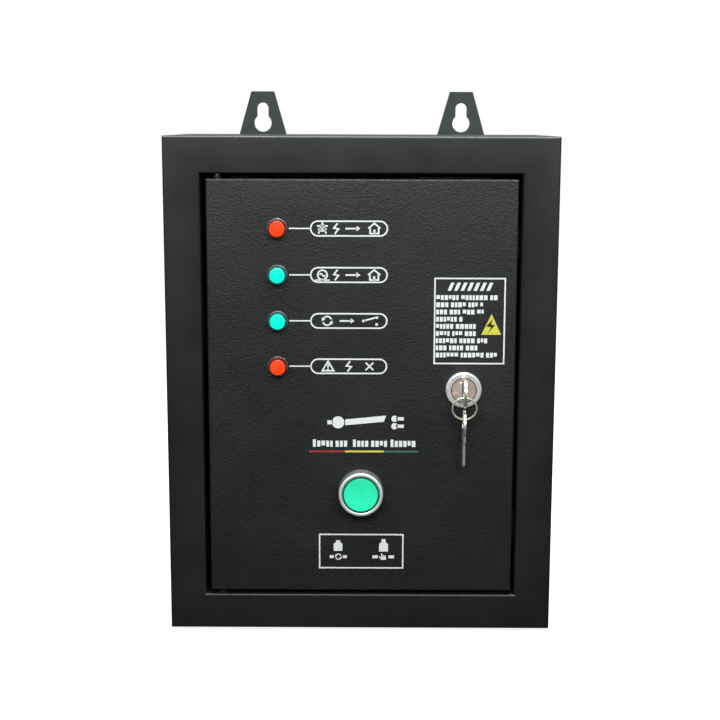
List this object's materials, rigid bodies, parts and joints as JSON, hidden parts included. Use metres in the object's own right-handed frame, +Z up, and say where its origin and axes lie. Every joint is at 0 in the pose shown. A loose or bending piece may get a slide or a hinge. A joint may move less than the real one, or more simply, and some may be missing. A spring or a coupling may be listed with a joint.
{
  "type": "transfer switch cabinet",
  "caption": "Wall-mounted steel transfer switch cabinet with a framed, locked door, pilot lamps, a push button, a key in its cam lock, and contactors and wiring inside.",
  "frame": {"origin": "midway between the round ends of the two keyholes, on the wall plane behind the hanging tabs", "axes": "+Z up, -Y out of the wall through the door, +X to the right of someone facing the door"},
  "size_m": [0.25, 0.1643, 0.3544],
  "materials": {
    "frame_paint": "satin charcoal powder coat",
    "door_paint": "fine textured black powder coat",
    "tab_paint": "satin grey-green powder coat",
    "zinc_steel": "zinc plated",
    "passivated_steel": "yellowish zinc plated",
    "spring_steel": "drawn wire",
    "bezel_metal": "satin turned",
    "lock_chrome": "polished",
    "core_metal": "polished",
    "key_metal": "nickel plated",
    "earth_brass": "machined",
    "rubber_black": "matte",
    "contactor_black": "moulded",
    "contactor_grey": "moulded",
    "body_black": "moulded",
    "strip_black": "moulded",
    "armature_ivory": "moulded",
    "nylon_white": "natural nylon",
    "contact_beige": "moulded",
    "board_green": "solder mask",
    "relay_blue": "moulded",
    "transformer_yellow": "tape wound",
    "connector_green": "moulded",
    "capacitor_sleeve": "shrink sleeve",
    "lens_red": "lit acrylic",
    "lens_green": "lit acrylic",
    "button_green": "lit polycarbonate",
    "wire_brown": "PVC",
    "wire_black": "PVC",
    "wire_blue": "PVC",
    "wire_earth": "PVC, green with a yellow stripe",
    "wire_red": "PVC",
    "harness_sleeve": "braided sleeve",
    "print_white": "screen print",
    "print_red": "screen print",
    "print_yellow": "screen print",
    "print_green": "screen print"
  },
  "bodies": {
    "cabinet": {"cabinet_shell": "frame_paint", "hanging_tabs": "tab_paint", "hinge_pins": "zinc_steel", "hinge_washers": "body_black", "door_stop_tabs": "frame_paint", "stop_bumpers": "rubber_black", "cable_grommets": "rubber_black", "plate_studs": "passivated_steel", "mounting_plate": "zinc_steel", "plate_nuts": "passivated_steel", "din_rail": "zinc_steel", "rail_screws": "zinc_steel", "mains_contactor_base": "contactor_black", "mains_contactor_cover": "contactor_grey", "generator_contactor_base": "contactor_black", "generator_contactor_cover": "contactor_grey", "interlock_module": "contactor_grey", "contactor_screws": "passivated_steel", "control_board": "board_green", "board_relays": "relay_blue", "board_transformer": "transformer_yellow", "board_connectors": "connector_green", "board_capacitors": "capacitor_sleeve", "board_standoffs": "nylon_white", "terminal_strip": "strip_black", "strip_screws": "passivated_steel", "earth_stud": "earth_brass", "mains_wires": "wire_brown", "generator_wires": "wire_black", "load_wires": "wire_blue", "earth_wire": "wire_earth", "control_wires": "wire_red", "harness_trunk": "harness_sleeve", "harness_loop": "harness_sleeve", "harness_clips": "nylon_white"},
    "door": {"door_panel": "door_paint", "hinge_bushes": "zinc_steel", "door_harness": "harness_sleeve", "door_harness_clips": "nylon_white", "red_lamp_lenses": "lens_red", "green_lamp_lenses": "lens_green", "lamp_bezels": "lock_chrome", "lamp_bodies": "body_black", "lamp_nuts": "zinc_steel", "button_bezel": "bezel_metal", "button_body": "body_black", "button_nut": "body_black", "button_contact_block": "contact_beige", "button_spring": "spring_steel", "lock_housing": "lock_chrome", "lock_nut": "zinc_steel"},
    "button": {"button_cap": "button_green"},
    "lock_core": {"lock_core": "core_metal", "lock_cam": "zinc_steel", "lock_cam_screw": "zinc_steel"},
    "key": {"key": "key_metal"},
    "key_ring": {"key_ring": "spring_steel"},
    "spare_key": {"spare_key": "key_metal"},
    "mains_armature": {"mains_armature": "armature_ivory"},
    "generator_armature": {"generator_armature": "armature_ivory"}
  },
  "joints": [
    {"name": "door_swing", "type": "hinge", "parent": "cabinet", "child": "door", "pos_m": [-0.091, -0.1355, -0.1692], "axis": [0, 0, -1], "range_deg": [0, 110], "deforming": ["harness_loop"]},
    {"name": "button_press", "type": "slide", "parent": "door", "child": "button", "axis": [0, 1, 0], "range_m": [0, 0.0045], "stiffness_N_per_m": 300, "springref_m": -0.003, "deforming": ["button_spring"]},
    {"name": "key_turn", "type": "hinge", "parent": "door", "child": "lock_core", "pos_m": [0.0661, -0.135, -0.1687], "axis": [0, 1, 0], "range_deg": [0, 90]},
    {"name": "key_pull", "type": "slide", "parent": "lock_core", "child": "key", "axis": [0, -1, 0], "range_m": [0, 0.02]},
    {"name": "ring_swing", "type": "hinge", "parent": "key", "child": "key_ring", "pos_m": [0.0661, -0.1557, -0.17145], "axis": [1, 0, 0], "range_deg": [-60, 0]},
    {"name": "spare_key_swing", "type": "hinge", "parent": "key_ring", "child": "spare_key", "pos_m": [0.0661, -0.15117, -0.18627], "axis": [1, 0, 0], "range_deg": [-45, 0]},
    {"name": "mains_armature_pull", "type": "slide", "parent": "cabinet", "child": "mains_armature", "axis": [0, 1, 0], "range_m": [0, 0.0045], "stiffness_N_per_m": 200, "springref_m": -0.004},
    {"name": "generator_armature_pull", "type": "slide", "parent": "cabinet", "child": "generator_armature", "axis": [0, 1, 0], "range_m": [0, 0.0045], "stiffness_N_per_m": 200, "springref_m": -0.004}
  ]
}
